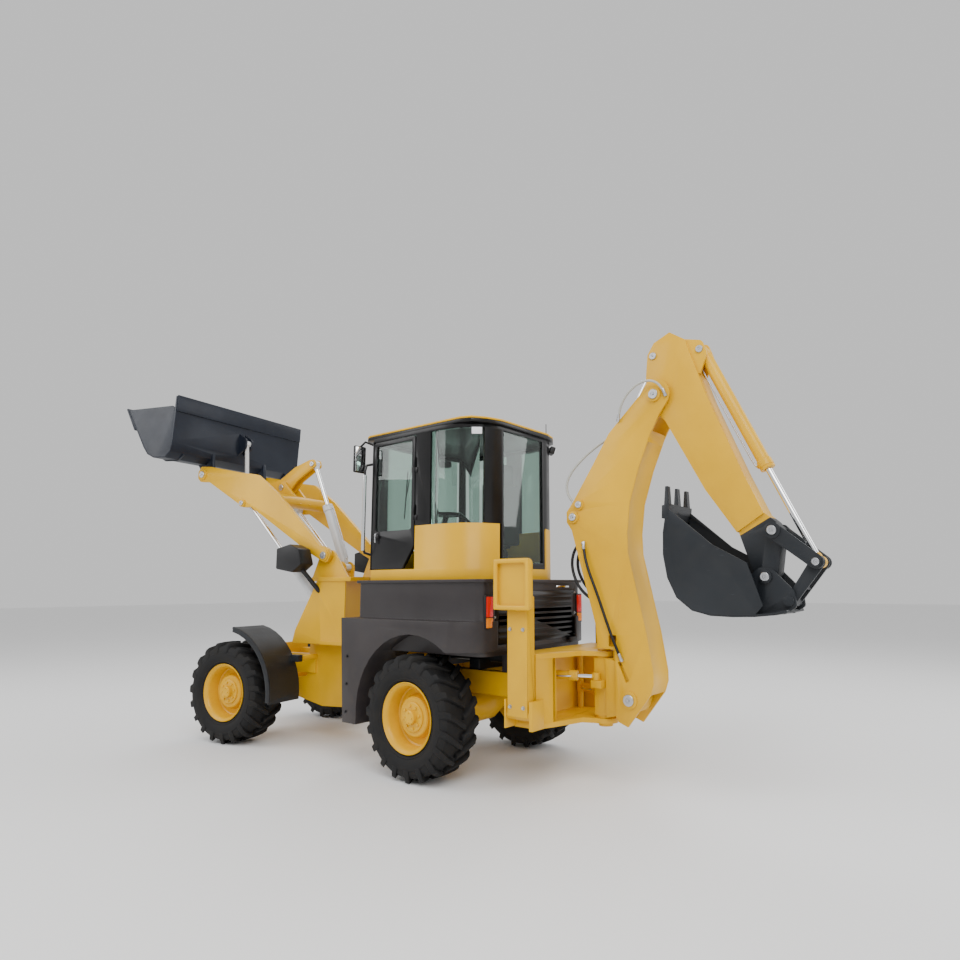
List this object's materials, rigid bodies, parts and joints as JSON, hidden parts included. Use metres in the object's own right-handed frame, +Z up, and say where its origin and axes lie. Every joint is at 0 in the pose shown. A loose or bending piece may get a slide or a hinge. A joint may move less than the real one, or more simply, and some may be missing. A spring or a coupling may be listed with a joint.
{
  "type": "backhoe loader",
  "caption": "Centre-articulated backhoe loader: cab over a rear engine, raised loader bucket on a bellcrank linkage, and a backhoe folded behind.",
  "frame": {"origin": "centre of the whole machine's box, on the ground", "axes": "+X forward along the rear half, +Y left, +Z up"},
  "size_m": [8.0582, 2.5464, 3.915],
  "materials": {
    "yellow_paint": "satin enamel, worn at edges",
    "charcoal_paint": "satin charcoal enamel",
    "black_paint": "satin black enamel",
    "bucket_paint": "semi-gloss blue-black enamel",
    "dark_paint": "matt charcoal enamel",
    "tyre_rubber": "moulded rubber",
    "cylinder_steel": "pale grey enamel",
    "chrome_rod": "hard chrome, polished",
    "tinted_glass": "green tint",
    "seat_vinyl": "black vinyl"
  },
  "bodies": {
    "rear": {"rear_frame": "yellow_paint", "rear_axle": "yellow_paint", "engine_block": "dark_paint", "body_cover": "charcoal_paint", "rear_grille": "black_paint", "cab_body": "yellow_paint", "cab_floor": "black_paint", "seat": "seat_vinyl", "cab_frame": "black_paint", "cab_roof": "yellow_paint", "windscreen": "tinted_glass", "rear_window": "tinted_glass", "left_corner_window": "tinted_glass", "right_corner_window": "tinted_glass", "right_window": "tinted_glass", "backhoe_frame": "yellow_paint"},
    "left_door": {"left_door": "black_paint", "left_door_glass": "tinted_glass"},
    "front": {"front_frame": "yellow_paint", "front_axle": "yellow_paint", "left_mudguard": "dark_paint", "right_mudguard": "dark_paint"},
    "rear_left_wheel": {"rear_left_tyre": "tyre_rubber", "rear_left_rim": "yellow_paint"},
    "rear_right_wheel": {"rear_right_tyre": "tyre_rubber", "rear_right_rim": "yellow_paint"},
    "front_left_wheel": {"front_left_tyre": "tyre_rubber", "front_left_rim": "yellow_paint"},
    "front_right_wheel": {"front_right_tyre": "tyre_rubber", "front_right_rim": "yellow_paint"},
    "arms": {"lift_arms": "yellow_paint"},
    "loader_bucket": {"loader_bucket": "bucket_paint"},
    "bellcrank": {"bellcrank": "yellow_paint"},
    "bucket_link": {"bucket_link": "cylinder_steel"},
    "tilt_barrel": {"tilt_cylinder_barrel": "cylinder_steel"},
    "tilt_rod": {"tilt_cylinder_rod": "chrome_rod"},
    "left_lift_barrel": {"left_lift_cylinder_barrel": "cylinder_steel"},
    "left_lift_rod": {"left_lift_cylinder_rod": "chrome_rod"},
    "right_lift_barrel": {"right_lift_cylinder_barrel": "cylinder_steel"},
    "right_lift_rod": {"right_lift_cylinder_rod": "chrome_rod"},
    "swing_post": {"swing_post": "yellow_paint"},
    "boom": {"boom": "yellow_paint"},
    "boom_barrel": {"boom_cylinder_barrel": "yellow_paint"},
    "boom_rod": {"boom_cylinder_rod": "chrome_rod"},
    "dipper": {"dipper": "yellow_paint"},
    "dipper_barrel": {"dipper_cylinder_barrel": "yellow_paint"},
    "dipper_rod": {"dipper_cylinder_rod": "chrome_rod"},
    "dig_bucket": {"digging_bucket": "dark_paint"},
    "rocker": {"bucket_rocker": "dark_paint"},
    "dig_link": {"bucket_h_link": "dark_paint"},
    "bucket_barrel": {"bucket_cylinder_barrel": "yellow_paint"},
    "bucket_rod": {"bucket_cylinder_rod": "chrome_rod"},
    "left_swing_barrel": {"left_swing_cylinder_barrel": "yellow_paint"},
    "left_swing_rod": {"left_swing_cylinder_rod": "chrome_rod"},
    "left_leg": {"left_stabilizer_leg": "yellow_paint"},
    "left_pad": {"left_stabilizer_pad": "yellow_paint"},
    "right_swing_barrel": {"right_swing_cylinder_barrel": "yellow_paint"},
    "right_swing_rod": {"right_swing_cylinder_rod": "chrome_rod"},
    "right_leg": {"right_stabilizer_leg": "yellow_paint"},
    "right_pad": {"right_stabilizer_pad": "yellow_paint"}
  },
  "joints": [
    {"name": "articulation", "type": "hinge", "parent": "rear", "child": "front", "pos_m": [0.69068, -0.30323, 0.7825], "axis": [0, 0, 1], "range_deg": [-46, 24]},
    {"name": "rear_left_wheel_spin", "type": "hinge", "parent": "rear", "child": "rear_left_wheel", "pos_m": [-0.83932, 0.46677, 0.53], "axis": [0, 1, 0], "continuous": true},
    {"name": "rear_right_wheel_spin", "type": "hinge", "parent": "rear", "child": "rear_right_wheel", "pos_m": [-0.83932, -1.07323, 0.53], "axis": [0, 1, 0], "continuous": true},
    {"name": "front_left_wheel_spin", "type": "hinge", "parent": "front", "child": "front_left_wheel", "pos_m": [1.78061, 0.69305, 0.53], "axis": [-0.1908, 0.9816, 0], "continuous": true},
    {"name": "front_right_wheel_spin", "type": "hinge", "parent": "front", "child": "front_right_wheel", "pos_m": [2.07445, -0.81866, 0.53], "axis": [-0.1908, 0.9816, 0], "continuous": true},
    {"name": "left_door_swing", "type": "hinge", "parent": "rear", "child": "left_door", "pos_m": [-0.63632, 0.40477, 2.4], "axis": [0, 0, 1], "range_deg": [0, 85]},
    {"name": "loader_lift", "type": "hinge", "parent": "front", "child": "arms", "pos_m": [1.02443, -0.23835, 1.98], "axis": [-0.1908, 0.9816, 0], "range_deg": [0, 75]},
    {"name": "bucket_tilt", "type": "hinge", "parent": "arms", "child": "loader_bucket", "pos_m": [3.00732, 0.14708, 3.03], "axis": [-0.1908, 0.9816, 0], "range_deg": [0, 80]},
    {"name": "left_lift_barrel_pivot", "type": "hinge", "parent": "front", "child": "left_lift_barrel", "pos_m": [0.80373, 0.11095, 1.16], "axis": [-0.1908, 0.9816, 0], "range_deg": [0, 58.9]},
    {"name": "left_lift_rod_slide", "type": "slide", "parent": "left_lift_barrel", "child": "left_lift_rod", "axis": [0.6893, 0.134, 0.7119], "range_m": [-0.9189, 0]},
    {"name": "right_lift_barrel_pivot", "type": "hinge", "parent": "front", "child": "right_lift_barrel", "pos_m": [0.95065, -0.6449, 1.16], "axis": [-0.1908, 0.9816, 0], "range_deg": [0, 58.9]},
    {"name": "right_lift_rod_slide", "type": "slide", "parent": "right_lift_barrel", "child": "right_lift_rod", "axis": [0.6893, 0.134, 0.7119], "range_m": [-0.9189, 0]},
    {"name": "tilt_barrel_pivot", "type": "hinge", "parent": "front", "child": "tilt_barrel", "pos_m": [1.15205, -0.21355, 1.86], "axis": [-0.1908, 0.9816, 0], "range_deg": [0, 78.2]},
    {"name": "tilt_rod_slide", "type": "slide", "parent": "tilt_barrel", "child": "tilt_rod", "axis": [0.3745, 0.0728, 0.9244], "range_m": [-0.204, 0]},
    {"name": "bellcrank_pivot", "type": "hinge", "parent": "arms", "child": "bellcrank", "pos_m": [2.11404, -0.02655, 2.86], "axis": [-0.1908, 0.9816, 0], "range_deg": [-16.1, 0]},
    {"name": "bucket_link_pivot", "type": "hinge", "parent": "bellcrank", "child": "bucket_link", "pos_m": [2.80118, 0.10701, 2.79], "axis": [-0.1908, 0.9816, 0], "range_deg": [0, 78.6]},
    {"name": "boom_swing", "type": "hinge", "parent": "rear", "child": "swing_post", "pos_m": [-2.23932, -0.30323, 0.81], "axis": [0, 0, 1], "range_deg": [-80, 80]},
    {"name": "boom_lift", "type": "hinge", "parent": "swing_post", "child": "boom", "pos_m": [-2.53932, -0.30323, 0.74], "axis": [0, -1, 0], "range_deg": [0, 100]},
    {"name": "boom_barrel_pivot", "type": "hinge", "parent": "swing_post", "child": "boom_barrel", "pos_m": [-2.29932, -0.30323, 1.2], "axis": [0, 1, 0], "range_deg": [-111.4, 0]},
    {"name": "boom_rod_slide", "type": "slide", "parent": "boom_barrel", "child": "boom_rod", "axis": [0.2447, 0, 0.9696], "range_m": [0, 0.7461]},
    {"name": "dipper_swing", "type": "hinge", "parent": "boom", "child": "dipper", "pos_m": [-2.82932, -0.30323, 3.18], "axis": [0, 1, 0], "range_deg": [0, 110]},
    {"name": "dipper_barrel_pivot", "type": "hinge", "parent": "boom", "child": "dipper_barrel", "pos_m": [-2.09932, -0.30323, 2.335], "axis": [0, 1, 0], "range_deg": [0, 0.5]},
    {"name": "dipper_rod_slide", "type": "slide", "parent": "dipper_barrel", "child": "dipper_rod", "axis": [-0.514, 0, 0.8578], "range_m": [-0.558, 0]},
    {"name": "digging_bucket_curl", "type": "hinge", "parent": "dipper", "child": "dig_bucket", "pos_m": [-3.63932, -0.30323, 1.7], "axis": [0, 1, 0], "range_deg": [0, 90]},
    {"name": "rocker_pivot", "type": "hinge", "parent": "dipper", "child": "rocker", "pos_m": [-3.69932, -0.30323, 2.03], "axis": [0, 1, 0], "range_deg": [0, 45]},
    {"name": "h_link_pivot", "type": "hinge", "parent": "rocker", "child": "dig_link", "pos_m": [-3.97932, -0.30323, 1.8], "axis": [0, 1, 0], "range_deg": [-60.4, 0]},
    {"name": "bucket_barrel_pivot", "type": "hinge", "parent": "dipper", "child": "bucket_barrel", "pos_m": [-3.19932, -0.30323, 3.5], "axis": [0, 1, 0], "range_deg": [0, 6.4]},
    {"name": "bucket_rod_slide", "type": "slide", "parent": "bucket_barrel", "child": "bucket_rod", "axis": [-0.417, 0, -0.9089], "range_m": [-0.197, 0]},
    {"name": "left_swing_barrel_pivot", "type": "hinge", "parent": "rear", "child": "left_swing_barrel", "pos_m": [-1.82932, -0.04323, 0.9], "axis": [0, 0, 1], "range_deg": [-12.9, 12.9]},
    {"name": "left_swing_rod_slide", "type": "slide", "parent": "left_swing_barrel", "child": "left_swing_rod", "axis": [-0.9475, -0.3198, 0], "range_m": [-0.0953, 0.0953]},
    {"name": "right_swing_barrel_pivot", "type": "hinge", "parent": "rear", "child": "right_swing_barrel", "pos_m": [-1.82932, -0.56323, 0.74], "axis": [0, 0, 1], "range_deg": [-12.9, 12.9]},
    {"name": "right_swing_rod_slide", "type": "slide", "parent": "right_swing_barrel", "child": "right_swing_rod", "axis": [-0.9475, 0.3198, 0], "range_m": [-0.0953, 0.0953]},
    {"name": "left_stabilizer_swing", "type": "hinge", "parent": "rear", "child": "left_leg", "pos_m": [-1.86932, 0.35677, 0.64], "axis": [-1, 0, 0], "range_deg": [0, 125]},
    {"name": "left_pad_pivot", "type": "hinge", "parent": "left_leg", "child": "left_pad", "pos_m": [-1.86932, 0.38677, 1.66], "axis": [-1, 0, 0], "range_deg": [-35.1, 0]},
    {"name": "right_stabilizer_swing", "type": "hinge", "parent": "rear", "child": "right_leg", "pos_m": [-1.86932, -0.96323, 0.64], "axis": [1, 0, 0], "range_deg": [0, 125]},
    {"name": "right_pad_pivot", "type": "hinge", "parent": "right_leg", "child": "right_pad", "pos_m": [-1.86932, -0.99323, 1.66], "axis": [1, 0, 0], "range_deg": [-35.1, 0]}
  ],
  "couplings": [
    {"joint": "left_lift_barrel_pivot", "follows": "loader_lift", "ratio": 0.7852},
    {"joint": "left_lift_rod_slide", "follows": "loader_lift", "m_per_rad": -0.70194},
    {"joint": "right_lift_barrel_pivot", "follows": "loader_lift", "ratio": 0.7852},
    {"joint": "right_lift_rod_slide", "follows": "loader_lift", "m_per_rad": -0.70194},
    {"joint": "tilt_barrel_pivot", "follows": "loader_lift", "ratio": 1.042},
    {"joint": "tilt_rod_slide", "follows": "loader_lift", "m_per_rad": -0.15584},
    {"joint": "bellcrank_pivot", "follows": "bucket_tilt", "ratio": -0.2002},
    {"joint": "bucket_link_pivot", "follows": "bucket_tilt", "ratio": 0.98162},
    {"joint": "boom_barrel_pivot", "follows": "boom_lift", "ratio": -1.1136},
    {"joint": "boom_rod_slide", "follows": "boom_lift", "m_per_rad": 0.42748},
    {"joint": "dipper_barrel_pivot", "follows": "dipper_swing", "ratio": 0.00434},
    {"joint": "dipper_rod_slide", "follows": "dipper_swing", "m_per_rad": -0.2906},
    {"joint": "rocker_pivot", "follows": "digging_bucket_curl", "ratio": 0.49912},
    {"joint": "h_link_pivot", "follows": "digging_bucket_curl", "ratio": -0.67},
    {"joint": "bucket_barrel_pivot", "follows": "digging_bucket_curl", "ratio": 0.07005},
    {"joint": "bucket_rod_slide", "follows": "digging_bucket_curl", "m_per_rad": -0.12539},
    {"joint": "left_swing_barrel_pivot", "follows": "boom_swing", "ratio": -0.16},
    {"joint": "left_swing_rod_slide", "follows": "boom_swing", "m_per_rad": 0.0682},
    {"joint": "right_swing_barrel_pivot", "follows": "boom_swing", "ratio": -0.16},
    {"joint": "right_swing_rod_slide", "follows": "boom_swing", "m_per_rad": -0.0682},
    {"joint": "left_pad_pivot", "follows": "left_stabilizer_swing", "ratio": -0.28},
    {"joint": "right_pad_pivot", "follows": "right_stabilizer_swing", "ratio": -0.28}
  ]
}
